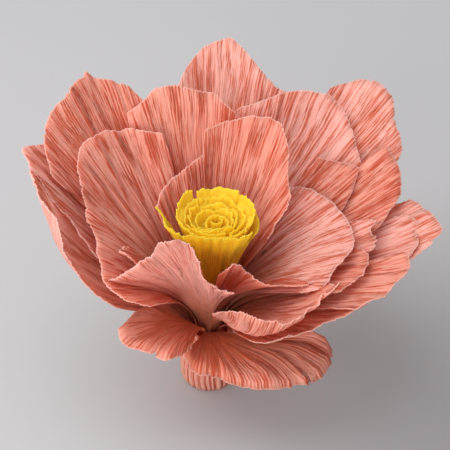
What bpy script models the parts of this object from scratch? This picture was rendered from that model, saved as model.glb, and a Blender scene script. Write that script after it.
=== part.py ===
"""Crepe paper peony, about 180 mm across, standing on its gathered base.

Every petal is its own sheet of crepe paper. Its claw is wrapped round the stem of the rolled
yellow centre, and the claws are nested one outside the other, tied with wire and covered by a
gathered cap. Azimuth is measured in degrees round the flower's axis, 0 along +X, 90 along +Y
(the back) and 270 towards the front. Lean is the angle of the paper from upright.
"""

import math
from typing import NamedTuple

import bmesh
import bpy
import numpy as np

MM = 0.001

PAPER = 0.4 * MM
PAPER_GAP = 0.35 * MM
PETAL_LENGTH = 100.0 * MM
NECK_HEIGHT = 38.0 * MM
CLAW_LENGTH = 31.0 * MM
FAN_LENGTH = 42.0 * MM
BEND_LENGTH = 90.0 * MM
GRIPPED_ROW = 5.0 * MM
FREED_ROW = 4.0 * MM
SPREAD_ROW = 15.0 * MM

ROLL_STEM_RADIUS = 3.0 * MM
ROLL_TOP_RADIUS = 17.6 * MM
ROLL_BOTTOM = NECK_HEIGHT - CLAW_LENGTH - PAPER
ROLL_RISE = 58.0 * MM
ROLL_TOP = NECK_HEIGHT + ROLL_RISE
ROLL_FLARE = ((0, 0), (0.26, 0.07), (0.5, 0.315), (0.71, 0.575), (1, 1))
ROLL_TURNS = 6
ROLL_WALL = 1.1 * MM
ROLL_GROOVE = 5.0 * MM
ROLL_DRIFT = 3.5 * MM

CAP_DROP = 4.0 * MM
CAP_HEIGHT = NECK_HEIGHT - CAP_DROP
CLAW_GAP = 0.9 * MM
CAP_FLOOR = NECK_HEIGHT - CLAW_LENGTH - CLAW_GAP
CAP_RADIUS = 12.8 * MM
CAP_BORE = 10.9 * MM
CAP_FLUTES = 22
CAP_FLUTE_DEPTH = 0.55 * MM
CAP_PROFILE = ((0, 0.92), (0.045, 0.985), (0.3, 1), (0.6, 0.97), (0.82, 0.955), (1, 1))

WIRE_RADIUS = 0.3 * MM
WIRE_GAP = 0.7 * MM
WIRE_HEIGHT = NECK_HEIGHT - CLAW_LENGTH / 2

PETAL_COLUMNS = 10
PETAL_ROWS = 7
WRAP_COLUMNS = 8
WRAP_ROWS = 6


class Petal(NamedTuple):
    """One crepe sheet, described round the flower's axis.

    layer: how many sheets lie between the claw and the stem
    neck: lean of the sheet where it leaves the cap, in degrees
    claw: azimuth of the claw's middle and its half width, in degrees
    rim: (azimuth, length from the neck) along the free edge, counterclockwise from above
    lean: (azimuth at the rim, lean at half of BEND_LENGTH, lean at its end), in the same order
    folds: (azimuth, height, half width in degrees) of each crease along the paper

    Lengths and heights are in hundredths of PETAL_LENGTH.
    """

    layer: float
    neck: float
    claw: tuple
    rim: tuple
    lean: tuple
    folds: tuple = ()


YELLOW_WRAPS = {
    "centre_wrap_front": Petal(
        0, 6, (275, 50),
        ((224, 48), (228, 58), (240, 60), (250, 58), (262, 61), (275, 60), (290, 62), (300, 59), (315, 60),
         (324, 50)),
        ((224, 22, 30), (275, 22, 30), (324, 22, 30)),
    ),
    "centre_wrap_left": Petal(
        0, 6, (180, 38),
        ((145, 46), (160, 57), (175, 60), (186, 66), (192, 68), (200, 61), (210, 56), (218, 54), (220, 44)),
        ((145, 22, 30), (190, 25, 42), (218, 23, 32)),
    ),
    "centre_wrap_right": Petal(
        0, 6, (20, 38),
        ((336, 46), (342, 56), (355, 58), (10, 58), (30, 56), (50, 54), (60, 44)),
        ((336, 22, 30), (10, 23, 31), (60, 22, 29)),
    ),
}

CORAL_PETALS = {
    "inner_petal_back_right": Petal(
        1, 14, (52, 34),
        ((0, 48), (8, 57), (17, 65), (22, 68), (32, 75), (40, 82), (50, 87), (60, 90), (68, 90), (74, 89),
         (82, 86), (92, 82), (95, 68)),
        ((0, 32, 32), (17, 35, 35), (50, 33, 31), (74, 30, 29), (95, 22, 22)),
    ),
    "inner_petal_back_left": Petal(
        1, 14, (120, 28),
        ((88, 66), (96, 69), (110, 69), (130, 65), (148, 63), (158, 60), (160, 48)),
        ((88, 32, 32), (110, 25, 23), (130, 22, 20), (158, 21, 19)),
    ),
    "inner_petal_front_right": Petal(
        1, 14, (305, 28),
        ((279, 55), (284, 62), (292, 60), (302, 55), (312, 57), (318, 56), (323, 62), (328, 66), (333, 52)),
        ((279, 38, 38), (292, 33, 33), (302, 42, 42), (312, 52, 50), (328, 61, 60)),
    ),
    "inner_petal_left": Petal(
        1, 14, (212, 22),
        ((197, 50), (200, 64), (204, 66), (207, 62), (210, 63), (214, 60), (222, 52), (232, 44)),
        ((200, 45, 45), (208, 42, 42), (215, 38, 38), (232, 34, 34)),
    ),
    "middle_petal_right": Petal(
        2, 20, (14, 34),
        ((322, 60), (326, 70), (334, 70), (340, 69), (350, 73), (358, 74), (5, 74), (14, 73), (22, 72),
         (28, 71), (33, 70), (38, 66), (45, 61), (52, 46)),
        ((322, 60, 60), (340, 60, 60), (0, 61, 61), (14, 59, 59), (33, 53, 53), (45, 48, 48)),
    ),
    "middle_petal_front_left": Petal(
        2, 18, (251, 33),
        ((216, 60), (218, 68), (228, 70), (238, 74), (241, 78), (247, 88), (253, 89), (259, 83), (264, 79),
         (268, 77), (274, 70), (280, 64), (285, 62), (288, 50)),
        ((218, 45, 45), (228, 39, 39), (238, 34, 34), (250, 30, 30), (259, 30, 30), (268, 37, 37),
         (285, 46, 46)),
        ((246, 2.0, 5), (264, -2.0, 5)),
    ),
    "middle_petal_back": Petal(
        4, 26, (102, 34),
        ((72, 80), (78, 88), (86, 94), (96, 97), (105, 100), (114, 101), (122, 97), (129, 93), (131, 90),
         (134, 80)),
        ((74, 34, 34), (96, 31, 31), (122, 30, 30), (134, 35, 35)),
    ),
    "middle_petal_left": Petal(
        2.6, 22, (179, 35),
        ((118, 70), (120, 82), (126, 85), (132, 89), (146, 94), (156, 96), (166, 93), (172, 90), (176, 86),
         (180, 80), (188, 76), (192, 73), (197, 70), (205, 67), (220, 62), (232, 58), (236, 46)),
        ((120, 25, 23), (132, 29, 29), (156, 34, 34), (172, 37, 37), (188, 42, 42), (205, 49, 49),
         (220, 56, 56), (232, 62, 62)),
        ((134, 3.0, 5), (200, 2.0, 6)),
    ),
    "middle_petal_front_right": Petal(
        3, 25, (340, 12),
        ((330, 60), (332, 70), (341, 77), (346, 78), (352, 78), (356, 75), (358, 62)),
        ((332, 64, 64), (346, 64, 64), (356, 63, 63)),
    ),
    "torn_petal_right": Petal(
        3, 26, (5, 11),
        ((354, 70), (357, 76), (0, 79), (5, 79), (8, 82), (10, 81), (12, 76), (15, 71), (16, 60)),
        ((354, 66, 66), (8, 62, 62), (16, 60, 60)),
    ),
    "folded_petal_right": Petal(
        3, 26, (35, 14),
        ((18, 60), (20, 72), (24, 81), (29, 91), (33, 89), (38, 85), (42, 82), (43, 70)),
        ((18, 61, 61), (24, 59, 59), (33, 56, 56), (43, 52, 52)),
    ),
    "front_petal_right": Petal(
        3, 30, (300, 22),
        ((277, 56), (279, 64), (283, 70), (290, 72), (297, 70), (302, 71), (309, 73), (317, 79), (322, 83),
         (326, 70)),
        ((279, 54, 0), (290, 57, 0), (302, 58, 0), (317, 57, 5), (326, 57, 15)),
    ),
    "back_petal_left": Petal(
        5, 30, (140, 25),
        ((116, 84), (118, 95), (122, 104), (126, 107), (130, 111), (133, 113), (136, 118), (138, 116),
         (143, 116), (148, 115), (154, 113), (160, 110), (166, 107), (170, 102), (175, 92)),
        ((116, 35, 35), (140, 34, 34), (154, 35, 35), (172, 39, 39)),
        ((133, 2.0, 4), (152, -2.0, 4)),
    ),
    "back_petal_right": Petal(
        5, 34, (58, 22),
        ((30, 86), (33, 96), (38, 98), (42, 102), (47, 107), (52, 110), (57, 106), (62, 102), (68, 98),
         (78, 94), (82, 80)),
        ((33, 61, 58), (42, 56, 54), (52, 50, 50), (60, 45, 45), (80, 41, 42)),
    ),
    "side_petal_right": Petal(
        4, 28, (22, 12),
        ((5, 70), (8, 81), (12, 89), (16, 98), (19, 100), (24, 103), (28, 105), (30, 106), (31, 96)),
        ((8, 66, 65), (20, 63, 63), (30, 59, 60)),
    ),
    "lower_petal_right": Petal(
        4, 34, (334, 10),
        ((322, 62), (324, 77), (328, 79), (332, 84), (336, 87), (343, 92), (347, 92), (352, 92), (354, 80)),
        ((324, 64, 56), (332, 66, 58), (343, 66, 60), (352, 66, 60)),
    ),
    "outer_petal_left": Petal(
        6, 34, (170, 20),
        ((158, 90), (160, 100), (162, 102), (166, 108), (168, 110), (173, 107), (180, 98), (186, 90),
         (194, 80), (202, 70), (206, 58)),
        ((160, 41, 41), (176, 41, 41), (190, 42, 32), (206, 45, 24)),
        ((166, 2.0, 4),),
    ),
    "outer_petal_back": Petal(
        6, 34, (83, 22),
        ((62, 88), (64, 102), (69, 105), (74, 110), (79, 118), (84, 125), (88, 122), (92, 119), (97, 110),
         (102, 96), (106, 84)),
        ((62, 50, 50), (84, 48, 46), (106, 46, 44)),
        ((92, 2.0, 5), (76, -2.0, 5)),
    ),
    "outer_petal_back_right": Petal(
        6, 36, (42, 14),
        ((26, 92), (28, 104), (30, 109), (33, 113), (36, 115), (38, 118), (41, 124), (44, 127), (47, 126),
         (50, 124), (53, 119), (56, 115), (58, 100)),
        ((28, 63, 62), (35, 61, 61), (44, 59, 59), (56, 57, 57)),
        ((48, -2.0, 3), (36, 2.0, 3)),
    ),
    "outer_petal_near_right": Petal(
        5, 39, (350, 14),
        ((349, 76), (354, 88), (358, 92), (2, 93), (6, 94), (8, 96), (12, 92), (14, 80)),
        ((349, 68, 66), (358, 68, 65), (8, 67, 64)),
    ),
    "outer_petal_front_right": Petal(
        4, 42, (310, 12),
        ((284, 64), (286, 70), (296, 70), (307, 69), (318, 74), (326, 77), (331, 78), (333, 64)),
        ((286, 58, 20), (296, 60, 28), (318, 62, 42), (330, 65, 52)),
    ),
    "outer_petal_right": Petal(
        6, 42, (8, 14),
        ((353, 78), (355, 90), (359, 98), (2, 104), (7, 102), (10, 101), (12, 99), (15, 98), (17, 96),
         (19, 84)),
        ((353, 68, 64), (2, 68, 64), (15, 67, 64)),
    ),
    "cupped_petal_left": Petal(
        7, 40, (192, 22),
        ((180, 92), (184, 99), (188, 97), (192, 94), (200, 89), (206, 82), (211, 74), (214, 58)),
        ((180, 45, 36), (184, 45, 32), (192, 47, 16), (200, 48, 2), (207, 47, -4), (214, 50, 4)),
    ),
    "curled_petal_front_left": Petal(
        3, 46, (238, 20),
        ((213, 32), (218, 40), (222, 46), (226, 54), (230, 55), (236, 49), (243, 45), (250, 45), (256, 42),
         (260, 34)),
        ((214, 46, 46), (222, 58, 60), (230, 72, 84), (250, 80, 100)),
    ),
    "curled_petal_front": Petal(
        4.8, 60, (279, 18),
        ((250, 28), (256, 32), (262, 37), (270, 41), (279, 44), (287, 47), (295, 48), (300, 50), (305, 55),
         (312, 57), (318, 58), (328, 54), (335, 47), (339, 38)),
        ((250, 92, 100), (280, 96, 110), (300, 96, 105), (320, 93, 95), (340, 88, 88)),
    ),
}


def smooth_through(stations, values, at):
    """Values at the points asked for, on a smooth curve through the stations."""
    stations = np.asarray(stations, float)
    values = np.asarray(values, float)
    slopes = np.gradient(values, stations)
    at = np.clip(at, stations[0], stations[-1])
    cell = np.clip(np.searchsorted(stations, at, side="right") - 1, 0, len(stations) - 2)
    width = stations[cell + 1] - stations[cell]
    t = (at - stations[cell]) / width
    rise = t * t * (3 - 2 * t)
    return (
        values[cell] * (1 - rise)
        + values[cell + 1] * rise
        + width * t * (1 - t) * (slopes[cell] * (1 - t) - slopes[cell + 1] * t)
    )


def ramp(value, start, end):
    """0 before start, 1 after end, and smooth between."""
    t = np.clip((value - start) / (end - start), 0, 1)
    return t * t * (3 - 2 * t)


def claw_radius(layer):
    return ROLL_STEM_RADIUS + PAPER_GAP + PAPER / 2 + layer * (PAPER + PAPER_GAP)


def sheet_lean(petal, reach, halfway, tip):
    """Lean in radians along one column: upright in the cap, then a parabola over BEND_LENGTH."""
    part = np.clip(reach / BEND_LENGTH, 0, 1)
    free = (
        petal.neck * (1 - part) * (1 - 2 * part)
        + halfway * 4 * part * (1 - part)
        + tip * part * (2 * part - 1)
    )
    return np.radians(np.where(reach > 0, free, petal.neck * ramp(reach, -0.3 * CLAW_LENGTH, 0)))


def petal_grid(petal, columns, rows):
    """Points of the sheet's middle surface, from the claw's end up to the rim, columns across."""
    first = petal.rim[0][0]
    azimuths = [first + (point[0] - first) % 360 for point in petal.rim]
    lengths = [point[1] / 100 * PETAL_LENGTH for point in petal.rim]
    longest = max(lengths)
    across = np.linspace(0, 1, columns + 1)
    rim_azimuth = azimuths[0] + across * (azimuths[-1] - azimuths[0])
    rim_length = np.interp(rim_azimuth, azimuths, lengths)
    claw_middle = first + (petal.claw[0] - first + 180) % 360 - 180
    claw_azimuth = claw_middle + (2 * across - 1) * petal.claw[1]

    lean_azimuths = [first + (row[0] - first + 90) % 360 - 90 for row in petal.lean]
    halfway = smooth_through(lean_azimuths, [row[1] for row in petal.lean], rim_azimuth)
    tip = smooth_through(lean_azimuths, [row[2] for row in petal.lean], rim_azimuth)

    steps = 96
    index = np.arange(steps + 1)
    grid = np.empty((rows + 1, columns + 1, 3))
    for column in range(columns + 1):
        reach = np.linspace(-CLAW_LENGTH, rim_length[column], steps + 1)
        angle = sheet_lean(petal, reach, halfway[column], tip[column])
        step = reach[1] - reach[0]
        out = np.concatenate([[0], np.cumsum((np.sin(angle[1:]) + np.sin(angle[:-1])) / 2)]) * step
        up = np.concatenate([[0], np.cumsum((np.cos(angle[1:]) + np.cos(angle[:-1])) / 2)]) * step
        fan = ramp(reach, -0.1 * CLAW_LENGTH, FAN_LENGTH)
        azimuth = claw_azimuth[column] * (1 - fan) + rim_azimuth[column] * fan
        push = np.zeros(steps + 1)
        for where, height, half_width in petal.folds:
            where = first + (where - first) % 360
            free = ramp(reach, 0.25 * longest, longest)
            push += height / 100 * PETAL_LENGTH * free * np.exp(-(((rim_azimuth[column] - where) / half_width) ** 2))
        radius = claw_radius(petal.layer) + out + push * np.cos(angle)
        height = NECK_HEIGHT - CLAW_LENGTH + up - push * np.sin(angle)
        stations = np.interp(
            np.linspace(0, 1, rows + 1),
            (0, 1 / 7, 2 / 7, 3 / 7, 1),
            (-CLAW_LENGTH, -GRIPPED_ROW, FREED_ROW, SPREAD_ROW, rim_length[column]),
        )
        picked = np.interp(stations, reach, index)
        azimuth = np.radians(np.interp(picked, index, azimuth))
        radius = np.interp(picked, index, radius)
        grid[:, column, 0] = radius * np.cos(azimuth)
        grid[:, column, 1] = radius * np.sin(azimuth)
        grid[:, column, 2] = np.interp(picked, index, height)
    return grid


def drifted(points):
    """Points of the yellow centre, whose top stands a little to the right of the axis."""
    points = np.array(points, float)
    rise = np.clip((points[..., 2] - NECK_HEIGHT) / (ROLL_TOP - NECK_HEIGHT), 0, None)
    points[..., 0] += ROLL_DRIFT * rise
    return points


def sheet_mesh(name, grid):
    rows, columns = grid.shape[0] - 1, grid.shape[1] - 1
    width = columns + 1
    faces = [
        (r * width + c, r * width + c + 1, (r + 1) * width + c + 1, (r + 1) * width + c)
        for r in range(rows)
        for c in range(columns)
    ]
    mesh = bpy.data.meshes.new(name)
    mesh.from_pydata(grid.reshape(-1, 3).tolist(), [], faces)
    return mesh


def crepe_material(name, color, roughness):
    material = bpy.data.materials.new(name)
    material.use_nodes = True
    shader = material.node_tree.nodes["Principled BSDF"]
    shader.inputs["Base Color"].default_value = (*color, 1)
    shader.inputs["Roughness"].default_value = roughness
    return material


def add_object(name, mesh, material):
    mesh.materials.append(material)
    mesh.shade_smooth()
    item = bpy.data.objects.new(name, mesh)
    bpy.context.scene.collection.objects.link(item)
    return item


def add_sheet(name, grid, material):
    sheet = add_object(name, sheet_mesh(name, grid), material)
    solidify = sheet.modifiers.new("paper", "SOLIDIFY")
    solidify.thickness = PAPER
    solidify.offset = 0
    return sheet


def add_solid(name, points, faces, material):
    mesh = bpy.data.meshes.new(name)
    mesh.from_pydata([tuple(point) for point in points], [], faces)
    shape = bmesh.new()
    shape.from_mesh(mesh)
    bmesh.ops.recalc_face_normals(shape, faces=shape.faces)
    shape.to_mesh(mesh)
    shape.free()
    return add_object(name, mesh, material)


def roll_radius(height):
    rise, flare = zip(*ROLL_FLARE)
    part = np.interp((height - NECK_HEIGHT) / ROLL_RISE, rise, flare)
    return ROLL_STEM_RADIUS + (ROLL_TOP_RADIUS - ROLL_STEM_RADIUS) * part


def roll_solid(per_turn, skin_rings):
    """The centre: one strip wound on itself, with a groove between its turns at the top."""
    count = ROLL_TURNS * per_turn
    outside = roll_radius(ROLL_TOP) - ROLL_WALL / 2
    pitch = (outside - ROLL_WALL) / ROLL_TURNS
    points = []
    for step in range(count + 1):
        turn = step / per_turn
        middle = ROLL_WALL + pitch * turn
        angle = 2 * math.pi * turn + math.radians(250)
        jag = 0.22 * math.sin(2.9 * step) + 0.18 * math.sin(1.7 * step + 1)
        top = ROLL_TOP + (jag - 0.4 + 0.07 * turn) * ROLL_GROOVE
        below = middle - pitch + ROLL_WALL / 2
        for radius, height in (
            (middle + ROLL_WALL / 2, top),
            (middle - ROLL_WALL / 2, top),
            (middle - ROLL_WALL / 2, ROLL_TOP - ROLL_GROOVE),
            (max(below, 0), ROLL_TOP - ROLL_GROOVE),
        ):
            points.append((radius * math.cos(angle), radius * math.sin(angle), height))
    faces = []
    for step in range(count):
        this, other = 4 * step, 4 * step + 4
        faces.append((this, other, other + 1, this + 1))
        faces.append((this + 1, other + 1, other + 2, this + 2))
        if step >= per_turn:
            inward, onward = 4 * (step - per_turn), 4 * (step - per_turn) + 4
            faces.append((this + 2, other + 2, other + 3, this + 3))
            faces.append((this + 3, other + 3, onward, inward))
    heart = len(points)
    points.append((0, 0, ROLL_TOP - ROLL_GROOVE))
    for step in range(per_turn):
        faces.append((heart, 4 * step + 2, 4 * step + 6))
    joint = 4 * per_turn
    faces.append((heart, joint + 2, joint + 3, 0, 1, 2))
    last, before = 4 * count, 4 * (count - per_turn)
    faces.append((last, last + 1, last + 2, last + 3, before))
    rings = []
    for ring in range(skin_rings):
        height = np.interp(ring, (0, skin_rings - 1), (ROLL_TOP - 0.8 * ROLL_GROOVE, ROLL_BOTTOM))
        radius = roll_radius(height)
        rings.append(len(points))
        for step in range(per_turn):
            angle = 2 * math.pi * step / per_turn + math.radians(250)
            points.append((radius * math.cos(angle), radius * math.sin(angle), height))
    for step in range(per_turn):
        onward = (step + 1) % per_turn
        faces.append((before + 4 * step, before + 4 * step + 4, rings[0] + onward, rings[0] + step))
        for upper, lower in zip(rings, rings[1:]):
            faces.append((upper + step, upper + onward, lower + onward, lower + step))
    faces.append((last, before, rings[0]))
    faces.append(tuple(rings[-1] + step for step in range(per_turn)))
    used = sorted({index for face in faces for index in face})
    place = {index: number for number, index in enumerate(used)}
    return drifted([points[index] for index in used]), [tuple(place[i] for i in face) for face in faces]


def cap_solid(per_flute):
    """The gathered cap: a fluted cup with a thick floor, flat underneath."""
    around = CAP_FLUTES * per_flute
    rings = []
    waves = [math.cos(2 * math.pi * k / per_flute) for k in range(around)]
    for height, radius in CAP_PROFILE:
        depth = CAP_FLUTE_DEPTH * (0.5 if height == 0 else 1)
        rings.append([(radius * CAP_RADIUS + depth * wave, height * CAP_HEIGHT) for wave in waves])
    rings.append([(CAP_BORE, CAP_HEIGHT)] * around)
    rings.append([(CAP_BORE, CAP_FLOOR)] * around)
    points = [
        (radius * math.cos(2 * math.pi * k / around), radius * math.sin(2 * math.pi * k / around), height)
        for ring in rings
        for k, (radius, height) in enumerate(ring)
    ]
    faces = []
    for ring in range(len(rings) - 1):
        low, high = ring * around, (ring + 1) * around
        for k in range(around):
            onward = (k + 1) % around
            faces.append((low + k, low + onward, high + onward, high + k))
    faces.append(tuple(range(around)))
    faces.append(tuple((len(rings) - 1) * around + k for k in range(around)))
    return points, faces


def ring_solid(radius, wire, height, around, across):
    points = []
    for k in range(around):
        angle = 2 * math.pi * k / around
        for j in range(across):
            turn = 2 * math.pi * j / across
            reach = radius + wire * math.cos(turn)
            points.append((reach * math.cos(angle), reach * math.sin(angle), height + wire * math.sin(turn)))
    faces = [
        (
            k * across + j,
            (k + 1) % around * across + j,
            (k + 1) % around * across + (j + 1) % across,
            k * across + (j + 1) % across,
        )
        for k in range(around)
        for j in range(across)
    ]
    return points, faces


def clear_scene():
    for item in list(bpy.data.objects):
        bpy.data.objects.remove(item)


def main():
    clear_scene()
    coral = crepe_material("coral_crepe", (0.72, 0.24, 0.16), 0.85)
    yellow = crepe_material("yellow_crepe", (0.95, 0.62, 0.05), 0.85)
    wire = crepe_material("binding_wire", (0.55, 0.55, 0.55), 0.4)
    add_solid("centre_roll", *roll_solid(16, 7), yellow)
    for name, wrap in YELLOW_WRAPS.items():
        add_sheet(name, drifted(petal_grid(wrap, WRAP_COLUMNS, WRAP_ROWS)), yellow)
    for name, petal in CORAL_PETALS.items():
        add_sheet(name, petal_grid(petal, PETAL_COLUMNS, PETAL_ROWS), coral)
    outer_layer = max(petal.layer for petal in CORAL_PETALS.values())
    wire_ring = claw_radius(outer_layer) + PAPER / 2 + WIRE_GAP + WIRE_RADIUS
    add_solid("binding_wire", *ring_solid(wire_ring, WIRE_RADIUS, WIRE_HEIGHT, 28, 6), wire)
    add_solid("gathered_base", *cap_solid(2), coral)


main()
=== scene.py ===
"""Looks of the crepe paper peony: every sheet with its crepe lines, gathers and ragged edge.

Each petal is one sheet of crepe whose claw is wrapped round the stem of the rolled yellow
centre. Azimuth is measured in degrees round the flower's axis, 0 along +X, 90 along +Y (the back)
and 270 towards the front. Lean is the angle of the paper from upright.
"""

import math
from typing import NamedTuple

import bpy
import numpy as np
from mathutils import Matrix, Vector


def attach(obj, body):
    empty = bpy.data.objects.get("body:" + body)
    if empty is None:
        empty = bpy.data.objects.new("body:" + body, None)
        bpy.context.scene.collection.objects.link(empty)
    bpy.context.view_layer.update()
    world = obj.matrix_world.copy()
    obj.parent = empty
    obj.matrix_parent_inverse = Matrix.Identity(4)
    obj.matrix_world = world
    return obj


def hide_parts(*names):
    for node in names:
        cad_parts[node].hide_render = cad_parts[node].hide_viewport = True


MM = 0.001

# Sheets
PAPER = 0.4 * MM
PAPER_GAP = 0.35 * MM
PAPER_SHOWN = 0.28 * MM
# Paper-map length that starts a piece past the painted shade near the claw
PAST_ROOT_SHADE = 100.0 * MM
NECK_HEIGHT = 38.0 * MM
CLAW_LENGTH = 31.0 * MM
FAN_LENGTH = 42.0 * MM
BEND_LENGTH = 90.0 * MM
TURN_LENGTH = 7.0 * MM

# Torn edge
TEAR_PITCH = 1.6 * MM
SCALLOP_PITCH = 6.5 * MM
BAY_PITCH = 15.0 * MM
NICK_PITCH = 2.4 * MM

# Crepe lines and gathers
COLUMN_STEP = 0.3 * MM
ROW_STEP = 4.5 * MM
CLAW_ROWS = 4
STRAY = 1.5 * MM
STRAY_PITCH = 10.0 * MM
STRAY_LENGTH = 15.0 * MM
RIDGE_PITCH = 0.8 * MM
RIDGE_LENGTH = 12.0 * MM
RIDGE_HEIGHT = 0.6 * MM
CREASE_PITCH = 1.6 * MM
CREASE_LENGTH = 16.0 * MM
SLIP_LENGTH = 22.0 * MM
GATHER_PITCH = 4.0 * MM
GATHER_LENGTH = 40.0 * MM
GATHER_HEIGHT = 0.6 * MM
BILLOW_PITCH = 18.0 * MM
BILLOW_LENGTH = 30.0 * MM
BILLOW_HEIGHT = 1.1 * MM
RUFFLE_LENGTH = 60.0 * MM
RUFFLE_DEPTH = 22.0 * MM

# Rolled centre
ROLL_STEM_RADIUS = 3.0 * MM
ROLL_TOP_RADIUS = 17.6 * MM
ROLL_BOTTOM = 6.6 * MM
ROLL_RISE = 58.0 * MM
ROLL_TOP = NECK_HEIGHT + ROLL_RISE
ROLL_FLARE = ((0, 0), (0.26, 0.07), (0.5, 0.315), (0.71, 0.575), (1, 1))
ROLL_DRIFT = 3.5 * MM
ROLL_DIP = 9.5 * MM
ROLL_FRINGE = 3.0 * MM
ROLL_ASIDE = 0.16
ROLL_ROW_STEP = 1.6 * MM
FRINGE_PITCH = 1.1 * MM
FRINGE_HEIGHT = 0.45 * MM
TOOTH_PITCH = 4.2 * MM
TOOTH_HEIGHT = 1.1 * MM
STRIP_STRAY = 0.6 * MM
STRIP_STRAY_PITCH = 5.0 * MM
STRIP_STRAY_LENGTH = 9.0 * MM
STRIP_PLEAT_PITCH = 2.6 * MM
STRIP_PLEAT_LENGTH = 30.0 * MM
STRIP_PLEAT_DEPTH = 1.1 * MM
STRIP_RIDGE_HEIGHT = 0.2 * MM
FUNNEL_COLUMNS = 420
FUNNEL_ROWS = 16
FUNNEL_RADIUS = 10.0 * MM
FUNNEL_PLEAT_PITCH = 2.1 * MM
FUNNEL_PLEAT_DEPTH = 1.5 * MM
FUNNEL_RIDGE_PITCH = 0.55 * MM
FUNNEL_RIDGE_HEIGHT = 0.3 * MM
CLUMP_PITCH = 6.0 * MM
CLUMP_HEIGHT = 0.9 * MM

# Gathered base
CAP_HEIGHT = 34.0 * MM
CAP_FLOOR = 6.1 * MM
CAP_RADIUS = 12.8 * MM
CAP_BORE = 10.9 * MM
CAP_COLUMNS = 540
CAP_LEVELS = 14
CAP_PLEATS = 27
CAP_PLEAT_DEPTH = 1.8 * MM
CAP_PLEAT_SWAY = 0.07
CAP_SWAY_PITCH = 5.0 * MM
CAP_NOTCHES = 60
CAP_NOTCH_HEIGHT = 0.8 * MM
CAP_PAPER = 100.0 * MM
CAP_PROFILE = ((0, 0.92), (0.045, 0.985), (0.3, 1), (0.6, 0.97), (0.82, 0.955), (1, 1))

# Camera
CAMERA_TARGET = Vector((7.4, 0.0, 88.7)) * MM
CAMERA_ELEVATION = math.radians(38)
CAMERA_DISTANCE = 650.0 * MM
CAMERA_ANGLE = math.radians(17.13)


class Petal(NamedTuple):
    """One crepe sheet, described round the flower's axis.

    layer: how many sheets lie between the claw and the stem
    neck: lean of the sheet where it leaves the cap, in degrees
    claw: azimuth of the claw's middle and its half width, in degrees
    rim: (azimuth, length from the neck in mm) along the free edge, counterclockwise from above
    lean: (azimuth at the rim, lean at half of BEND_LENGTH, lean at its end), in the same order
    folds: (azimuth, height in mm, half width in degrees) of each crease along the paper
    ruffle: height in mm and pitch in mm of the waves along the free edge
    ragged: depth in mm of the torn edge
    turned: degrees by which the last TURN_LENGTH turns down
    """

    layer: float
    neck: float
    claw: tuple
    rim: tuple
    lean: tuple
    folds: tuple = ()
    ruffle: tuple = (0.9, 9)
    ragged: float = 0.45
    turned: float = 0


YELLOW_WRAPS = {
    "centre_wrap_front": Petal(
        0, 6, (275, 50),
        ((224, 48), (228, 61), (240, 63.5), (250, 64), (262, 64.5), (275, 64.5), (290, 64.5),
         (300, 63.5), (315, 62), (324, 50)),
        ((224, 22, 30), (275, 22, 30), (324, 22, 30)),
        ruffle=(0.4, 7),
    ),
    "centre_wrap_left": Petal(
        0, 6, (180, 38),
        ((174, 46), (181, 58), (187, 66), (190, 68.5), (193, 67), (197, 63.5), (202, 62), (212, 62),
         (220, 63), (229, 63), (231, 46)),
        ((174, 23, 31), (190, 24, 31), (205, 24, 31), (231, 23, 31)),
        ruffle=(0.5, 6), ragged=0.7,
    ),
    "centre_wrap_right": Petal(
        0, 6, (20, 38),
        ((336, 44), (342, 52), (355, 54), (10, 54), (30, 52), (50, 50), (60, 42)),
        ((336, 22, 30), (10, 23, 31), (60, 22, 29)),
        ruffle=(0.5, 6), ragged=0.7,
    ),
}

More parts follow.
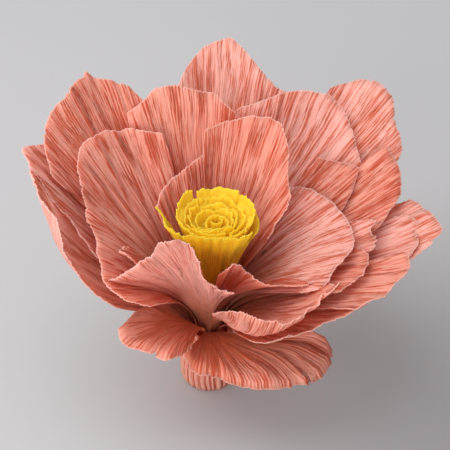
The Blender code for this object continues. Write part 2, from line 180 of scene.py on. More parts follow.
CORAL_PETALS = {
    "inner_petal_back_right": Petal(
        1, 14, (52, 34),
        ((0, 48), (8, 57), (17, 65), (22, 66.5), (32, 73.5), (40, 83), (50, 89.5), (56, 91), (62, 90),
         (68, 88.5), (74, 86.5), (82, 84.5), (92, 82), (95, 68)),
        ((0, 32, 32), (17, 35, 35), (50, 33, 31), (74, 30, 29), (95, 22, 22)),
    ),
    "inner_petal_back_left": Petal(
        1, 14, (120, 28),
        ((88, 71), (96, 70), (103, 68), (110, 66), (120, 64), (130, 62.5), (140, 61.5), (148, 61),
         (158, 58), (160, 48)),
        ((88, 32, 32), (110, 25, 23), (130, 22, 20), (158, 21, 19)),
    ),
    "inner_petal_front_right": Petal(
        1, 14, (305, 28),
        ((279, 55), (284, 62), (292, 60), (302, 55), (312, 57), (318, 56), (323, 62), (328, 66),
         (333, 52)),
        ((279, 38, 38), (292, 33, 33), (302, 42, 42), (312, 52, 50), (328, 61, 60)),
    ),
    "inner_petal_left": Petal(
        1, 14, (212, 22),
        ((197, 46), (199, 57), (203, 61), (206, 61), (209, 65), (212, 66.5), (216, 66), (219, 60),
         (223, 50)),
        ((200, 40, 40), (212, 41, 41), (223, 43, 43)),
        ruffle=(1.6, 6), ragged=0.8,
    ),
    "middle_petal_right": Petal(
        2, 20, (14, 34),
        ((322, 60), (326, 70), (334, 70), (340, 69), (350, 73), (358, 74), (5, 74), (14, 73), (22, 72),
         (28, 71), (33, 70), (38, 66), (45, 61), (52, 46)),
        ((322, 60, 60), (340, 60, 60), (0, 61, 61), (14, 59, 59), (33, 53, 53), (45, 48, 48)),
    ),
    "middle_petal_front_left": Petal(
        2, 18, (251, 33),
        ((216, 60), (218, 68), (228, 70), (238, 74), (242, 79), (245, 86), (248, 91), (254, 89),
         (259, 83), (264, 79), (268, 77), (274, 70), (280, 64), (285, 62), (288, 50)),
        ((216, 56, 28), (222, 51, 32), (229, 42, 36), (238, 34, 34), (250, 30, 30), (259, 30, 30),
         (268, 37, 37), (285, 46, 46)),
        ((246, 2.0, 5), (264, -2.0, 5)),
    ),
    "middle_petal_back": Petal(
        4, 26, (102, 34),
        ((72, 80), (78, 88), (86, 94), (96, 97), (105, 100), (114, 101), (122, 97), (129, 93), (130, 88),
         (131.5, 82)),
        ((74, 34, 34), (96, 31, 31), (122, 30, 30), (134, 35, 35)),
    ),
    "middle_petal_left": Petal(
        2.6, 22, (179, 35),
        ((118, 70), (120, 82), (126, 85), (132, 88.5), (140, 90), (146, 93), (156, 94.5), (166, 93),
         (170, 90), (173, 86.5), (176, 84), (179, 80.5), (182, 77), (188, 73.5), (192, 69), (197, 66.5),
         (205, 67), (212, 68), (220, 70), (227, 71), (232, 69), (236, 65), (240, 58), (242, 46)),
        ((120, 25, 23), (132, 29, 29), (156, 34, 34), (172, 37, 37), (188, 42, 42), (205, 48, 49),
         (220, 52, 54), (232, 55, 57)),
        ((134, 3.0, 5), (200, 2.0, 6)),
    ),
    "middle_petal_front_right": Petal(
        3, 25, (340, 12),
        ((330, 60), (332, 70), (341, 77), (346, 78), (352, 78), (356, 75), (358, 62)),
        ((332, 64, 64), (346, 64, 64), (356, 63, 63)),
    ),
    "torn_petal_right": Petal(
        3, 26, (5, 11),
        ((354, 70), (357, 76), (0, 79), (5, 79), (8, 82), (10, 81), (12, 76), (15, 71), (16, 60)),
        ((354, 66, 66), (8, 62, 62), (16, 60, 60)),
        ruffle=(1.6, 5), ragged=1.6,
    ),
    "folded_petal_right": Petal(
        3, 26, (35, 14),
        ((18, 60), (20, 72), (24, 81), (29, 91), (33, 89), (38, 85), (42, 82), (43, 70)),
        ((18, 61, 61), (24, 59, 59), (33, 56, 56), (43, 52, 52)),
    ),
    "front_petal_right": Petal(
        3, 30, (300, 22),
        ((274, 50), (276, 62), (279, 69), (283, 76), (288, 78), (293, 79), (297, 76.5), (302, 77),
         (309, 76.5), (317, 79.5), (322, 83), (326, 70)),
        ((274, 44, 10), (279, 49, 0), (284, 54, -6), (290, 60, -10), (302, 61, -8), (317, 58, 3),
         (326, 57, 15)),
        ruffle=(1.6, 6), ragged=0.8,
    ),
    "back_petal_left": Petal(
        5, 30, (140, 25),
        ((116, 84), (118, 95), (122, 104), (126, 107), (130, 111), (133, 113), (136, 118), (138, 116),
         (143, 116), (148, 115), (154, 113), (160, 110), (166, 107), (170, 102), (175, 92)),
        ((116, 35, 35), (140, 34, 34), (154, 35, 35), (172, 39, 39)),
        ((133, 2.0, 4), (152, -2.0, 4)),
    ),
    "back_petal_right": Petal(
        5, 34, (58, 22),
        ((30, 82), (33, 90), (38, 95), (42, 100.5), (47, 106), (52, 109.5), (57, 106), (62, 102),
         (68, 97), (74, 92), (79, 88), (82, 78)),
        ((33, 61, 58), (42, 56, 54), (52, 50, 50), (60, 45, 45), (80, 41, 42)),
    ),
    "side_petal_right": Petal(
        4, 28, (22, 12),
        ((5, 70), (8, 81), (12, 89), (16, 98), (19, 100), (24, 103), (28, 105), (30, 106), (31, 96)),
        ((8, 66, 65), (20, 63, 63), (30, 59, 60)),
    ),
    "lower_petal_right": Petal(
        4, 34, (334, 10),
        ((322, 62), (324, 77), (328, 79), (332, 84), (336, 87), (343, 92), (347, 92), (352, 92),
         (354, 80)),
        ((324, 64, 56), (332, 66, 58), (343, 66, 60), (352, 66, 60)),
    ),
    "outer_petal_left": Petal(
        6, 34, (170, 20),
        ((158, 90), (160, 99), (162, 102), (166, 106), (168, 107.5), (173, 107), (176.5, 102), (178, 96),
         (180, 90.5), (183, 82.5), (186, 76.5), (190, 71), (192, 66), (198, 58)),
        ((160, 41, 41), (176, 41, 41), (190, 42, 32), (206, 45, 24)),
        ((166, 2.0, 4),),
    ),
    "outer_petal_back": Petal(
        6, 34, (83, 22),
        ((62, 88), (64, 102), (69, 105), (74, 110), (79, 118), (84, 125), (88, 122), (92, 119),
         (97, 110), (102, 96), (106, 84)),
        ((62, 50, 50), (84, 48, 46), (106, 46, 44)),
        ((92, 2.0, 5), (76, -2.0, 5)),
    ),
    "outer_petal_back_right": Petal(
        6, 36, (42, 14),
        ((26, 92), (28, 104), (30, 109), (33, 113), (36, 115), (38, 118), (41, 124), (44, 127),
         (47, 126), (50, 124), (53, 119), (56, 115), (58, 100)),
        ((28, 63, 62), (35, 61, 61), (44, 59, 59), (56, 57, 57)),
        ((48, -2.0, 3), (36, 2.0, 3)),
    ),
    "outer_petal_near_right": Petal(
        5, 39, (350, 14),
        ((349, 76), (354, 88), (358, 92), (2, 93), (6, 94), (8, 96), (12, 92), (14, 80)),
        ((349, 68, 66), (358, 68, 65), (8, 67, 64)),
    ),
    "outer_petal_front_right": Petal(
        4, 42, (310, 12),
        ((288, 58), (292, 67), (300, 71), (307, 70), (318, 74), (326, 77), (331, 78), (333, 64)),
        ((286, 58, 20), (296, 60, 28), (318, 62, 42), (330, 65, 52)),
    ),
    "outer_petal_right": Petal(
        6, 42, (8, 14),
        ((353, 78), (355, 90), (359, 98), (2, 104), (7, 102), (10, 101), (12, 99), (15, 98), (17, 96),
         (19, 84)),
        ((353, 68, 64), (2, 68, 64), (15, 67, 64)),
    ),
    "cupped_petal_left": Petal(
        7, 40, (192, 22),
        ((171, 88), (174, 97), (177, 101), (180, 102), (184, 100), (188, 100), (192, 99), (200, 94),
         (206, 85), (211, 75), (216, 64), (220, 50)),
        ((174, 44, 34), (180, 42, 28), (184, 43, 24), (192, 49, 6), (200, 50, -8), (207, 49, -6),
         (214, 50, 8), (220, 54, 30)),
    ),
    "curled_petal_front_left": Petal(
        3, 46, (238, 20),
        ((213, 32), (218, 38), (222, 44), (226, 54), (230, 55), (236, 50), (243, 46.5), (250, 47.5),
         (256, 42), (260, 34)),
        ((214, 46, 46), (222, 58, 60), (230, 72, 84), (250, 80, 100)),
        ruffle=(2.8, 9), ragged=0.9, turned=45,
    ),
    "curled_petal_front": Petal(
        4.8, 60, (279, 18),
        ((249, 26), (256, 31), (262, 35), (270, 37), (279, 40), (287, 45.5), (295, 48), (300, 50),
         (305, 55), (312, 57), (318, 58), (328, 55), (333, 51), (337, 45), (339, 36)),
        ((250, 92, 100), (280, 96, 110), (300, 96, 105), (320, 95, 95), (340, 104, 90)),
        ((338, -8.0, 4),),
        ruffle=(1.8, 7), ragged=0.9, turned=70,
    ),
}

# Petals that get the paler coral, which is painted light for the light these petals catch.
PAINTED_LIT_PETALS = (
    "middle_petal_right", "middle_petal_front_left", "cupped_petal_left", "outer_petal_left",
    "outer_petal_back", "back_petal_right", "torn_petal_right", "outer_petal_near_right",
    "outer_petal_back_right", "outer_petal_right",
)


def smooth_through(stations, values, at):
    """Values at the points asked for, on a smooth curve through the stations."""
    stations = np.asarray(stations, float)
    values = np.asarray(values, float)
    slopes = np.gradient(values, stations)
    at = np.clip(at, stations[0], stations[-1])
    cell = np.clip(np.searchsorted(stations, at, side="right") - 1, 0, len(stations) - 2)
    width = stations[cell + 1] - stations[cell]
    t = (at - stations[cell]) / width
    rise = t * t * (3 - 2 * t)
    return (
        values[cell] * (1 - rise)
        + values[cell + 1] * rise
        + width * t * (1 - t) * (slopes[cell] * (1 - t) - slopes[cell + 1] * t)
    )


def ramp(value, start, end):
    """0 before start, 1 after end, and smooth between."""
    t = np.clip((value - start) / (end - start), 0, 1)
    return t * t * (3 - 2 * t)


def soft_noise(rng, across, along, pitch, length):
    """Smooth heights from -1 to 1 in cells of the given pitch across and length along."""
    u = (across - across.min()) / pitch
    v = (along - along.min()) / length
    table = rng.uniform(-1, 1, (int(u.max()) + 2, int(v.max()) + 2))
    column = u.astype(int)
    row = v.astype(int)
    a = u - column
    b = v - row
    a = a * a * (3 - 2 * a)
    b = b * b * (3 - 2 * b)
    near = table[column, row] * (1 - a) + table[column + 1, row] * a
    far = table[column, row + 1] * (1 - a) + table[column + 1, row + 1] * a
    return near * (1 - b) + far * b


def claw_radius(layer):
    return ROLL_STEM_RADIUS + PAPER_GAP + PAPER / 2 + layer * (PAPER + PAPER_GAP)


def unwrapped(first, azimuth):
    """The azimuth as a number that follows on from the first one, within half a turn of it."""
    return first + (azimuth - first + 90) % 360 - 90


def sheet_lean(petal, reach, halfway, tip):
    """Lean in radians: upright in the cap, then a parabola over BEND_LENGTH."""
    part = np.clip(reach / BEND_LENGTH, 0, 1)
    free = (
        petal.neck * (1 - part) * (1 - 2 * part)
        + halfway * 4 * part * (1 - part)
        + tip * part * (2 * part - 1)
    )
    return np.radians(np.where(reach > 0, free, petal.neck * ramp(reach, -0.3 * CLAW_LENGTH, 0)))


def sheet_surface(petal, columns, rows, rng=None):
    """Points of the sheet's middle surface, and the reach and the distance to the rim of each."""
    first = petal.rim[0][0]
    azimuths = [first + (point[0] - first) % 360 for point in petal.rim]
    lengths = [point[1] * MM for point in petal.rim]
    longest = max(lengths)
    across = np.linspace(0, 1, columns + 1)
    rim_azimuth = azimuths[0] + across * (azimuths[-1] - azimuths[0])
    rim_length = np.interp(rim_azimuth, azimuths, lengths)
    if rng is not None:
        span = np.radians(azimuths[-1] - azimuths[0]) * longest
        tear = soft_noise(rng, across * span, across * 0, TEAR_PITCH, 1)
        scallop = soft_noise(rng, across * span, across * 0, SCALLOP_PITCH, 1)
        bay = soft_noise(rng, across * span, across * 0, BAY_PITCH, 1)
        nick = ramp(soft_noise(rng, across * span, across * 0, NICK_PITCH, 1), 0.75, 0.95)
        rim_length = rim_length + petal.ragged * MM * (0.5 * tear + scallop + 1.6 * bay - 2 * nick)
    claw_middle = first + (petal.claw[0] - first + 180) % 360 - 180
    claw_azimuth = claw_middle + (2 * across - 1) * petal.claw[1]
    lean_azimuths = [unwrapped(first, row[0]) for row in petal.lean]
    halfway = smooth_through(lean_azimuths, [row[1] for row in petal.lean], rim_azimuth)
    tip = smooth_through(lean_azimuths, [row[2] for row in petal.lean], rim_azimuth)

    finer = 4
    claw = np.linspace(-CLAW_LENGTH, 0, CLAW_ROWS * finer + 1)[:-1, None] + 0 * rim_length
    free = np.linspace(0, 1, rows * finer + 1)[:, None] * rim_length
    reach = np.concatenate([claw, free])
    lean = sheet_lean(petal, reach, halfway, tip)
    lean += math.radians(petal.turned) * ramp(reach, rim_length - TURN_LENGTH, rim_length)
    step = np.diff(reach, axis=0)
    start = np.zeros((1, columns + 1))
    sine = (np.sin(lean[1:]) + np.sin(lean[:-1])) / 2 * step
    cosine = (np.cos(lean[1:]) + np.cos(lean[:-1])) / 2 * step
    out = np.concatenate([start, np.cumsum(sine, axis=0)])
    up = np.concatenate([start, np.cumsum(cosine, axis=0)])
    reach, lean, out, up = (field[::finer] for field in (reach, lean, out, up))

    fan = ramp(reach, -0.1 * CLAW_LENGTH, FAN_LENGTH)
    azimuth = np.radians(claw_azimuth * (1 - fan) + rim_azimuth * fan)
    push = np.zeros_like(reach)
    for where, height, half_width in petal.folds:
        beside = (rim_azimuth - first - (where - first) % 360) / half_width
        push += height * MM * ramp(reach, 0.25 * longest, longest) * np.exp(-(beside**2))
    radius = claw_radius(petal.layer) + out + push * np.cos(lean)
    height = NECK_HEIGHT - CLAW_LENGTH + up - push * np.sin(lean)
    grid = np.stack([radius * np.cos(azimuth), radius * np.sin(azimuth), height], axis=-1)
    return grid, reach, rim_length - reach


def flat_width(grid):
    return np.linalg.norm(np.diff(grid, axis=1), axis=2).sum(axis=1).max()


def grid_normals(grid):
    along, across = np.gradient(grid, axis=(0, 1))
    normals = np.cross(across, along)
    return normals / np.linalg.norm(normals, axis=2, keepdims=True)


def crepe_sheet(petal, seed):
    """The sheet's surface with its crepe lines, and each point's paper coordinates and relief, which
    also sets the painted shade in its creases.
    """
    rng = np.random.default_rng(seed)
    width = flat_width(sheet_surface(petal, 24, 12)[0])
    longest = max(point[1] for point in petal.rim) * MM
    columns = round(width / COLUMN_STEP)
    rows = round(longest / ROW_STEP)
    grid, reach, to_rim = sheet_surface(petal, columns, rows, rng)
    across = np.linspace(0, width, columns + 1) + 0 * reach
    row_width = np.linalg.norm(np.diff(grid, axis=1), axis=2).sum(axis=1)[:, None]
    spread = np.clip(row_width / width, 0.15, 1)

    strayed = across + STRAY * soft_noise(rng, across, reach, STRAY_PITCH, STRAY_LENGTH)
    lines = soft_noise(rng, strayed, reach, RIDGE_PITCH, RIDGE_LENGTH)
    slip = soft_noise(rng, strayed, reach, 2.5 * CREASE_PITCH, SLIP_LENGTH)
    depth = soft_noise(rng, strayed, reach, 1.3 * CREASE_PITCH, CREASE_LENGTH)
    turn = math.pi * (strayed / CREASE_PITCH + 0.8 * slip)
    crease = (1 - np.abs(np.sin(turn))) * (0.75 + 0.6 * depth)
    ridge = 0.4 + 0.5 * lines - 1.1 * crease
    gather = soft_noise(rng, strayed, reach, GATHER_PITCH, GATHER_LENGTH)
    billow = soft_noise(rng, across, reach, BILLOW_PITCH, BILLOW_LENGTH)
    wave_height, wave_pitch = petal.ruffle
    wave = soft_noise(rng, across, reach, wave_pitch * MM, RUFFLE_LENGTH)
    free = ramp(reach, 4 * MM, 45 * MM)
    relief = (
        RIDGE_HEIGHT * ridge * spread
        + GATHER_HEIGHT * gather * free * spread
        + BILLOW_HEIGHT * billow * free * ramp(reach, 20 * MM, 80 * MM)
        + wave_height * MM * wave * ramp(-to_rim, -RUFFLE_DEPTH, 0)
    )
    grid = grid + grid_normals(grid) * relief[:, :, None]
    return grid, strayed, reach, to_rim, ridge + 0.25 * gather


def drifted(points):
    """Points of the yellow centre, whose top stands a little to the right of the axis."""
    points = np.array(points, float)
    rise = np.clip((points[..., 2] - NECK_HEIGHT) / (ROLL_TOP - NECK_HEIGHT), 0, None)
    points[..., 0] += ROLL_DRIFT * rise
    return points


def closed_sheet(name, grid, thickness, fields):
    """A closed shell of even thickness round the grid, with the fields kept on its points."""
    rows, columns = grid.shape[0], grid.shape[1]
    half = grid_normals(grid) * thickness / 2
    points = np.concatenate([(grid + half).reshape(-1, 3), (grid - half).reshape(-1, 3)])
    index = np.arange(rows * columns).reshape(rows, columns)
    corners = [index[:-1, :-1], index[:-1, 1:], index[1:, 1:], index[1:, :-1]]
    quads = np.stack(corners, axis=-1).reshape(-1, 4)
    border = np.concatenate([index[0, :-1], index[:-1, -1], index[-1, :0:-1], index[:0:-1, 0]])
    onward = np.roll(border, -1)
    shift = rows * columns
    strip = np.stack([border, border + shift, onward + shift, onward], axis=-1)
    faces = np.concatenate([quads, quads[:, ::-1] + shift, strip])
    mesh = bpy.data.meshes.new(name)
    mesh.from_pydata(points.tolist(), [], faces.tolist())
    for field, values in fields.items():
        attribute = mesh.attributes.new(field, "FLOAT", "POINT")
        attribute.data.foreach_set("value", np.tile(values.reshape(-1), 2).astype(np.float32))
    mesh.shade_smooth()
    return mesh


def paper_map(mesh, across, along):
    """A UV map in which one unit is 100 mm of paper, across and along the crepe lines."""
    both = np.stack([across.reshape(-1), along.reshape(-1)], axis=-1) * 10
    both = np.tile(both, (len(mesh.vertices) // len(both), 1))
    corners = np.empty(len(mesh.loops), dtype=np.int32)
    mesh.loops.foreach_get("vertex_index", corners)
    layer = mesh.uv_layers.new(name="paper")
    layer.data.foreach_set("uv", both[corners].reshape(-1).astype(np.float32))


def add_piece(name, mesh, material, node):
    piece = bpy.data.objects.new(name, mesh)
    bpy.context.scene.collection.objects.link(piece)
    mesh.materials.append(material)
    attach(piece, "root")
    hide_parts(node)
    return piece


def add_sheet(node, petal, seed, material, move=None):
    grid, across, reach, to_rim, ridge = crepe_sheet(petal, seed)
    if move:
        grid = move(grid)
    fields = {"to_rim": to_rim / MM, "ridge": ridge}
    mesh = closed_sheet("crepe_" + node, grid, PAPER_SHOWN, fields)
    paper_map(mesh, across + 0.2 * seed, reach)
    return add_piece("crepe_" + node, mesh, material, node)


def roll_radius(height):
    rise, flare = zip(*ROLL_FLARE)
    part = np.interp((height - NECK_HEIGHT) / ROLL_RISE, rise, flare)
    return ROLL_STEM_RADIUS + (ROLL_TOP_RADIUS - ROLL_STEM_RADIUS) * part


def funnel_height(part):
    """Height of the centre's dished top, from its middle (0) to its edge (1)."""
    return ROLL_TOP - ROLL_DIP * (1 - part) ** 0.9


def strip_ridge(line, pleat):
    """How far the yellow strip's surface stands out, which sets the painted shade in its creases."""
    return 0.7 * line - pleat + 0.4


def roll_strip(seed, start, end, reach, drop, bottom):
    """One stretch of the fringed strip wound round the centre.

    start, end: azimuths in degrees, counterclockwise from above
    reach: radius at its two ends, as parts of the roll's own
    drop: how far its top lies under the roll's top at its two ends, in mm
    bottom: height of its lower edge
    """
    rng = np.random.default_rng(seed)
    span = math.radians(end - start)
    whole = span * ROLL_TOP_RADIUS * max(reach)
    columns = round(whole / COLUMN_STEP)
    rows = max(round((ROLL_TOP - bottom) / ROLL_ROW_STEP), 5)
    part = np.linspace(0, 1, columns + 1)
    length = part * whole
    flat = np.zeros_like(length)
    fringe = FRINGE_HEIGHT * soft_noise(rng, length, flat, FRINGE_PITCH, 1)
    fringe += TOOTH_HEIGHT * soft_noise(rng, length, flat, TOOTH_PITCH, 1)
    top = ROLL_TOP - np.interp(part, (0, 1), drop) * MM + fringe
    height = bottom + (top - bottom) * np.linspace(0, 1, rows + 1)[:, None]
    radius = (roll_radius(height) - PAPER) * np.interp(part, (0, 1), reach)
    stray = soft_noise(rng, length + 0 * height, height, STRIP_STRAY_PITCH, STRIP_STRAY_LENGTH)
    across = length + STRIP_STRAY * stray
    pleat = np.abs(soft_noise(rng, across, height, STRIP_PLEAT_PITCH, STRIP_PLEAT_LENGTH))
    line = soft_noise(rng, across, height, RIDGE_PITCH, RIDGE_LENGTH)
    loose = ramp(height, ROLL_TOP - STRIP_PLEAT_LENGTH, ROLL_TOP)
    radius += STRIP_PLEAT_DEPTH * (0.4 - pleat) * loose + STRIP_RIDGE_HEIGHT * line
    angle = math.radians(start) + part * span

    # The inner turns lean a little, each to its own side, so they aren't even rings.
    risen = ramp(height, ROLL_TOP - 2 * ROLL_DIP, ROLL_TOP)
    aside = ROLL_ASIDE * (1 - max(reach)) * ROLL_TOP_RADIUS * risen
    x = radius * np.cos(angle) + aside * math.cos(seed)
    y = radius * np.sin(angle) + aside * math.sin(seed)
    grid = np.stack([x, y, height], axis=-1)
    return drifted(grid), across, height, top - height, strip_ridge(line, pleat)


def funnel(seed):
    """The pleated inside of the roll, from its rim down to the small rosette in its middle."""
    rng = np.random.default_rng(seed)
    angle = np.linspace(0, 2 * math.pi, FUNNEL_COLUMNS + 1)
    part = np.linspace(1, 0, FUNNEL_ROWS + 1)[:, None]
    length = angle * FUNNEL_RADIUS + 0 * part
    inward = part + 0 * angle
    blend = ramp(angle, 6.0, 2 * math.pi)
    noises = []
    for pitch in (FUNNEL_PLEAT_PITCH, FUNNEL_RIDGE_PITCH):
        noise = soft_noise(rng, length, inward, pitch, 2.0)
        noises.append(noise * (1 - blend) + noise[:, :1] * blend)
    pleat = np.abs(noises[0])
    line = noises[1]
    clump = soft_noise(rng, length, inward, CLUMP_PITCH, 0.3) * ramp(1 - angle / 6.3, 0, 0.1)
    relief = FUNNEL_PLEAT_DEPTH * (0.4 - pleat) + FUNNEL_RIDGE_HEIGHT * line + CLUMP_HEIGHT * clump
    twisted = angle + 0.5 * (1 - part)
    reach = roll_radius(ROLL_TOP) * (0.02 + 0.9 * part**0.8) + 0 * angle
    height = funnel_height(0.15 + 0.85 * part) - ROLL_FRINGE + relief * (0.35 + 0.65 * part)
    grid = np.stack([reach * np.cos(twisted), reach * np.sin(twisted), height], axis=-1)
    far_from_rim = np.full_like(reach, 6 * MM)
    return drifted(grid), length, reach, far_from_rim, strip_ridge(line, pleat)


def revolved(name, profile, around, shape, paper):
    """A closed solid turned round the axis, its points moved by the shape function.

    Its paper map takes the given length of paper for the way round, and starts past the stretch that has
    the painted root shade.
    """
    angle = np.linspace(0, 2 * math.pi, around, endpoint=False)
    rings = []
    across = []
    along = []
    ridges = []
    for radius, height in profile:
        reach, level = shape(radius, height, angle)
        level = level + 0 * angle
        rings.append(np.stack([reach * np.cos(angle), reach * np.sin(angle), level], axis=-1))
        across.append(angle / (2 * math.pi) * paper)
        # The pleats' depth goes to the ridge field, which paints shade into the folds.
        ridges.append((reach - radius) / MM * 0.6)
        along.append(level - radius + PAST_ROOT_SHADE)
    points = np.concatenate(rings)
    faces = []
    for ring in range(len(rings) - 1):
        low, high = ring * around, (ring + 1) * around
        for k in range(around):
            onward = (k + 1) % around
            faces.append((low + k, low + onward, high + onward, high + k))
    faces.append(tuple(reversed(range(around))))
    faces.append(tuple((len(rings) - 1) * around + k for k in range(around)))
    mesh = bpy.data.meshes.new(name)
    mesh.from_pydata(points.tolist(), [], faces)
    far = mesh.attributes.new("to_rim", "FLOAT", "POINT")
    far.data.foreach_set("value", np.full(len(points), 10.0, dtype=np.float32))
    ridge = mesh.attributes.new("ridge", "FLOAT", "POINT")
    ridge.data.foreach_set("value", np.concatenate(ridges).astype(np.float32))
    paper_map(mesh, np.concatenate(across), np.concatenate(along))
    mesh.shade_smooth()
    return mesh


def new_material(name):
    material = bpy.data.materials.new(name)
    material.use_nodes = True
    material.node_tree.nodes.clear()
    return material


class Shader:
    """Short ways to add nodes to a material and join them."""

    def __init__(self, material):
        self.tree = material.node_tree

    def node(self, kind, **inputs):
        node = self.tree.nodes.new("ShaderNode" + kind)
        for key, value in inputs.items():
            self.put(node.inputs[key.replace("_", " ")], value)
        return node

    def put(self, socket, value):
        if isinstance(value, bpy.types.NodeSocket):
            self.tree.links.new(value, socket)
        else:
            socket.default_value = value

    def math(self, operation, *values):
        node = self.tree.nodes.new("ShaderNodeMath")
        node.operation = operation
        for socket, value in zip(node.inputs, values):
            self.put(socket, value)
        return node.outputs[0]

    def mix(self, factor, first, second):
        node = self.tree.nodes.new("ShaderNodeMix")
        node.data_type = "RGBA"
        self.put(node.inputs[0], factor)
        self.put(node.inputs[6], first)
        self.put(node.inputs[7], second)
        return node.outputs[2]

    def smooth(self, value, low, high):
        node = self.tree.nodes.new("ShaderNodeMapRange")
        node.interpolation_type = "SMOOTHSTEP"
        self.put(node.inputs["Value"], value)
        node.inputs["From Min"].default_value = low
        node.inputs["From Max"].default_value = high
        return node.outputs["Result"]

    def field(self, name):
        node = self.tree.nodes.new("ShaderNodeAttribute")
        node.attribute_name = name
        return node.outputs["Fac"]

    def along_paper(self):
        """Length along the crepe lines from the neck, in units of 100 mm."""
        where = self.tree.nodes.new("ShaderNodeUVMap")
        where.uv_map = "paper"
        return self.node("SeparateXYZ", Vector=where.outputs["UV"]).outputs["Y"]

    def stretched_noise(self, across, along, detail=3.0):
        """Noise on the paper map, so many cells per 100 mm across and along the crepe lines."""
        where = self.tree.nodes.new("ShaderNodeUVMap")
        where.uv_map = "paper"
        scaled = self.node("Mapping", Vector=where.outputs["UV"], Scale=(across, along, 1))
        noise = self.node("TexNoise", Vector=scaled.outputs[0], Scale=1.0, Detail=detail)
        return noise.outputs["Fac"]


def crepe_material(name, light, streak_and_crease_shade, edge, root, through, see_through):
    """Matt crepe paper: streaks along its lines, painted shade in its creases and near its claw.

    light, deep: colours on the crepe lines and, as painted shade, in the creases between them; both also
    colour the random streaks
    edge, root: colours at the torn edge and, as painted shade, near the claw
    through: colour of the light that shines through, and see_through its share
    """
    material = new_material(name)
    shader = Shader(material)
    streak = shader.smooth(shader.stretched_noise(150, 12), 0.42, 0.58)
    broad = shader.smooth(shader.stretched_noise(60, 5), 0.35, 0.65)
    # Painted shade: the low places of the relief take the deep colour and its tops take the light one.
    crease = shader.smooth(shader.field("ridge"), -0.6, 0.5)
    tone_and_crease_shade = shader.math("ADD", shader.math("MULTIPLY", streak, 0.3), shader.math("MULTIPLY", broad, 0.1))
    tone_and_crease_shade = shader.math("ADD", tone_and_crease_shade, shader.math("MULTIPLY", crease, 0.6))
    tone_and_crease_shade = shader.smooth(tone_and_crease_shade, 0.1, 0.85)
    color = shader.mix(tone_and_crease_shade, (*streak_and_crease_shade, 1), (*light, 1))
    # Painted shade: near the claw the colour turns to the root colour, for the shade deep in the flower.
    height = shader.smooth(shader.along_paper(), 0.05, 0.5)
    color = shader.mix(height, (*root, 1), color)
    rim = shader.smooth(shader.field("to_rim"), 0.9, 0.0)
    color = shader.mix(shader.math("MULTIPLY", rim, 0.7), color, (*edge, 1))
    bump = shader.node("Bump", Height=shader.stretched_noise(190, 16), Strength=1.0, Distance=0.25 * MM)
    paper = shader.node("BsdfPrincipled", Normal=bump.outputs[0])
    shader.put(paper.inputs["Base Color"], color)
    paper.inputs["Roughness"].default_value = 0.72
    paper.inputs["Specular IOR Level"].default_value = 0.2
    paper.inputs["Sheen Weight"].default_value = 0.1
    paper.inputs["Sheen Roughness"].default_value = 0.5
    glow = shader.node("BsdfTranslucent", Color=(*through, 1), Normal=bump.outputs[0])
    both = shader.tree.nodes.new("ShaderNodeMixShader")
    both.inputs[0].default_value = see_through
    shader.put(both.inputs[1], paper.outputs[0])
    shader.put(both.inputs[2], glow.outputs[0])
    result = shader.tree.nodes.new("ShaderNodeOutputMaterial")
    shader.put(result.inputs["Surface"], both.outputs[0])
    return material


def wire_material():
    material = new_material("annealed_wire")
    shader = Shader(material)
    scratch = shader.node("TexNoise", Scale=900.0, Detail=4.0)
    rough = shader.math("ADD", 0.35, shader.math("MULTIPLY", scratch.outputs["Fac"], 0.2))
    metal = shader.node("BsdfPrincipled", Roughness=rough)
    metal.inputs["Base Color"].default_value = (0.42, 0.41, 0.40, 1)
    metal.inputs["Metallic"].default_value = 1.0
    result = shader.tree.nodes.new("ShaderNodeOutputMaterial")
    shader.put(result.inputs["Surface"], metal.outputs[0])
    return material


def floor_material():
    """Pale grey, a little darker towards the near right: painted shade for the light falling off there.
    """
    material = new_material("pale_floor")
    shader = Shader(material)
    where = shader.node("NewGeometry")
    axes = shader.node("SeparateXYZ", Vector=where.outputs["Position"])
    slide = shader.math("SUBTRACT", axes.outputs["X"], shader.math("MULTIPLY", axes.outputs["Y"], 0.6))
    # Painted shade: the floor colour darkens towards the near right.
    shade = shader.smooth(slide, 0.02, 0.18)
    color = shader.mix(shade, (0.42, 0.412, 0.417, 1), (0.235, 0.216, 0.222, 1))
    paint = shader.node("BsdfPrincipled", Roughness=0.9)
    shader.put(paint.inputs["Base Color"], color)
    paint.inputs["Specular IOR Level"].default_value = 0.1
    result = shader.tree.nodes.new("ShaderNodeOutputMaterial")
    shader.put(result.inputs["Surface"], paint.outputs[0])
    return material


def build_centre(yellow):
    """The wound strips and the funnel inside them, their paper past the painted root shade."""
    lower = ROLL_TOP - ROLL_DIP
    lowest = lower - 3 * MM
    parts = {
        "outer_turn_left": roll_strip(61, 128, 262, (0.98, 1.03), (-2.2, 2.5), ROLL_BOTTOM),
        "outer_turn_back": roll_strip(62, 52, 124, (0.9, 0.9), (-0.8, -0.8), lower),
        "outer_turn_right": roll_strip(63, -40, 66, (1.0, 0.95), (2.0, -0.4), ROLL_BOTTOM),
        "outer_turn_front": roll_strip(64, 225, 335, (0.95, 0.95), (3.0, 3.0), ROLL_BOTTOM),
        "inner_turn_first": roll_strip(65, -60, 290, (0.8, 0.82), (2.6, 2.2), lower),
        "inner_turn_second": roll_strip(66, 130, 480, (0.68, 0.62), (2.4, 3.0), lower),
        "inner_turn_third": roll_strip(67, -20, 330, (0.52, 0.46), (3.6, 4.0), lowest),
        "inner_turn_fourth": roll_strip(68, 200, 540, (0.36, 0.28), (4.2, 5.0), lowest),
        "inner_turn_last": roll_strip(70, 90, 420, (0.2, 0.12), (4.8, 5.4), lowest),
        "funnel": funnel(69),
    }
    for name, (grid, across, along, to_rim, ridge) in parts.items():
        mesh = closed_sheet("crepe_centre_" + name, grid, PAPER, {"to_rim": to_rim / MM, "ridge": ridge})
        paper_map(mesh, across, along + PAST_ROOT_SHADE)
        add_piece("crepe_centre_" + name, mesh, yellow, "centre_roll")


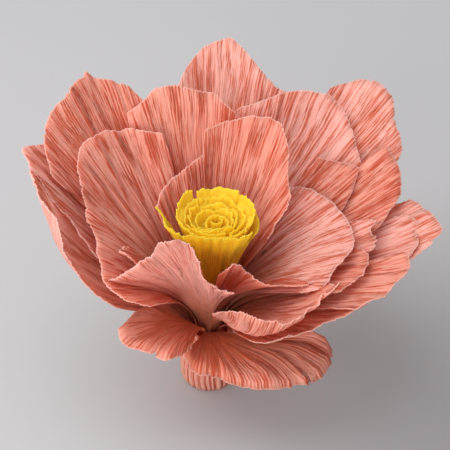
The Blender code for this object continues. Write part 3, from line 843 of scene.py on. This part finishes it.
def build_base(coral):
    rng = np.random.default_rng(5)
    sizes = rng.uniform(0.55, 1.3, CAP_PLEATS)
    edges = np.concatenate([[0], np.cumsum(rng.uniform(0.6, 1.4, CAP_PLEATS))])
    edges *= 2 * math.pi / edges[-1]
    notch = rng.uniform(-1, 1, CAP_NOTCHES)
    notch_angles = np.linspace(0, 2 * math.pi, CAP_NOTCHES)

    def pleated(radius, height, angle):
        if radius <= CAP_BORE:
            return radius + 0 * angle, height
        bent = (angle + CAP_PLEAT_SWAY * math.sin(height / CAP_SWAY_PITCH)) % (2 * math.pi)
        pleat = np.clip(np.searchsorted(edges, bent, side="right") - 1, 0, CAP_PLEATS - 1)
        part = (bent - edges[pleat]) / (edges[pleat + 1] - edges[pleat])
        depth = CAP_PLEAT_DEPTH * sizes[pleat] * (0.45 if height < MM else 1)
        folded = radius + depth * (np.sin(math.pi * part) ** 0.7 - 0.65)
        if height > 0.95 * CAP_HEIGHT:
            height = height + CAP_NOTCH_HEIGHT * np.interp(angle, notch_angles, notch)
        return np.maximum(folded, CAP_BORE + 0.15 * MM), height

    rise, swell = zip(*CAP_PROFILE)
    levels = np.linspace(0, 1, CAP_LEVELS)
    profile = [(np.interp(level, rise, swell) * CAP_RADIUS, level * CAP_HEIGHT) for level in levels]
    profile += [(CAP_BORE, CAP_HEIGHT - MM), (CAP_BORE, CAP_FLOOR)]
    mesh = revolved("crepe_gathered_base", profile, CAP_COLUMNS, pleated, CAP_PAPER)
    return add_piece("crepe_gathered_base", mesh, coral, "gathered_base")


def build_flower():
    # In each paper below, the root colour is painted shade near the claw, and the darker crease colour
    # is partly painted shade.
    coral = crepe_material(
        "coral_crepe",
        light=(0.88, 0.45, 0.35),
        streak_and_crease_shade=(0.5, 0.085, 0.038),
        edge=(1.0, 0.66, 0.57),
        root=(0.66, 0.16, 0.06),
        through=(1.0, 0.44, 0.28),
        see_through=0.42,
    )
    # A paler copy of the coral: painted light on the petals that catch more light.
    painted_lit_coral = crepe_material(
        "painted_lit_coral_crepe",
        light=(0.96, 0.58, 0.5),
        streak_and_crease_shade=(0.58, 0.13, 0.065),
        edge=(1.0, 0.74, 0.67),
        root=(0.8, 0.27, 0.15),
        through=(1.0, 0.5, 0.36),
        see_through=0.42,
    )
    yellow = crepe_material(
        "yellow_crepe",
        light=(1.0, 0.93, 0.08),
        streak_and_crease_shade=(1.0, 0.8, 0.035),
        edge=(1.0, 0.95, 0.12),
        root=(1.0, 0.5, 0.02),
        through=(1.0, 0.76, 0.06),
        see_through=0.6,
    )
    for seed, (node, petal) in enumerate(CORAL_PETALS.items()):
        add_sheet(node, petal, seed, painted_lit_coral if node in PAINTED_LIT_PETALS else coral)
    for seed, (node, wrap) in enumerate(YELLOW_WRAPS.items(), start=40):
        add_sheet(node, wrap, seed, yellow, drifted)
    build_centre(yellow)
    build_base(coral)
    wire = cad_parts["binding_wire"]
    wire.data.materials.clear()
    wire.data.materials.append(wire_material())


def build_stage():
    size = 3.0
    mesh = bpy.data.meshes.new("floor")
    corners = [(-size, -size, 0), (size, -size, 0), (size, size, 0), (-size, size, 0)]
    mesh.from_pydata(corners, [], [(0, 1, 2, 3)])
    mesh.materials.append(floor_material())
    floor = bpy.data.objects.new("floor", mesh)
    bpy.context.scene.collection.objects.link(floor)


def add_area_light(name, place, aim, size, power):
    light = bpy.data.lights.new(name, "AREA")
    light.shape = "DISK"
    light.size = size
    light.energy = power
    lamp = bpy.data.objects.new(name, light)
    lamp.location = place
    lamp.rotation_euler = (Vector(aim) - Vector(place)).to_track_quat("-Z", "Y").to_euler()
    bpy.context.scene.collection.objects.link(lamp)


def build_light():
    middle = (0, 0, 0.09)
    add_area_light("window", (-0.35, 0.05, 1.1), middle, size=1.2, power=10.0)
    add_area_light("fill", (-0.5, -1.0, 0.3), middle, size=1.1, power=14.0)
    world = bpy.data.worlds.new("room")
    world.use_nodes = True
    background = world.node_tree.nodes["Background"]
    background.inputs["Color"].default_value = (0.97, 0.98, 1.0, 1)
    background.inputs["Strength"].default_value = 0.74
    bpy.context.scene.world = world
    bpy.context.scene.view_settings.view_transform = "Standard"


def build_camera():
    data = bpy.data.cameras.new("camera")
    data.angle = CAMERA_ANGLE
    camera = bpy.data.objects.new("camera", data)
    back = Vector((0, -math.cos(CAMERA_ELEVATION), math.sin(CAMERA_ELEVATION)))
    camera.location = CAMERA_TARGET + back * CAMERA_DISTANCE
    camera.rotation_euler = (-back).to_track_quat("-Z", "Y").to_euler()
    bpy.context.scene.collection.objects.link(camera)
    bpy.context.scene.camera = camera


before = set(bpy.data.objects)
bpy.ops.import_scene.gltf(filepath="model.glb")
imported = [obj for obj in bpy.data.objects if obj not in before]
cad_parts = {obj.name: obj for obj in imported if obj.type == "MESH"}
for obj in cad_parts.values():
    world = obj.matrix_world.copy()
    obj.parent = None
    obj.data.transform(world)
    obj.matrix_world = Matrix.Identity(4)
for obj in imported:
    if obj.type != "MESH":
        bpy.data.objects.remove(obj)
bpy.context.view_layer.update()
build_flower()
build_stage()
build_light()
build_camera()
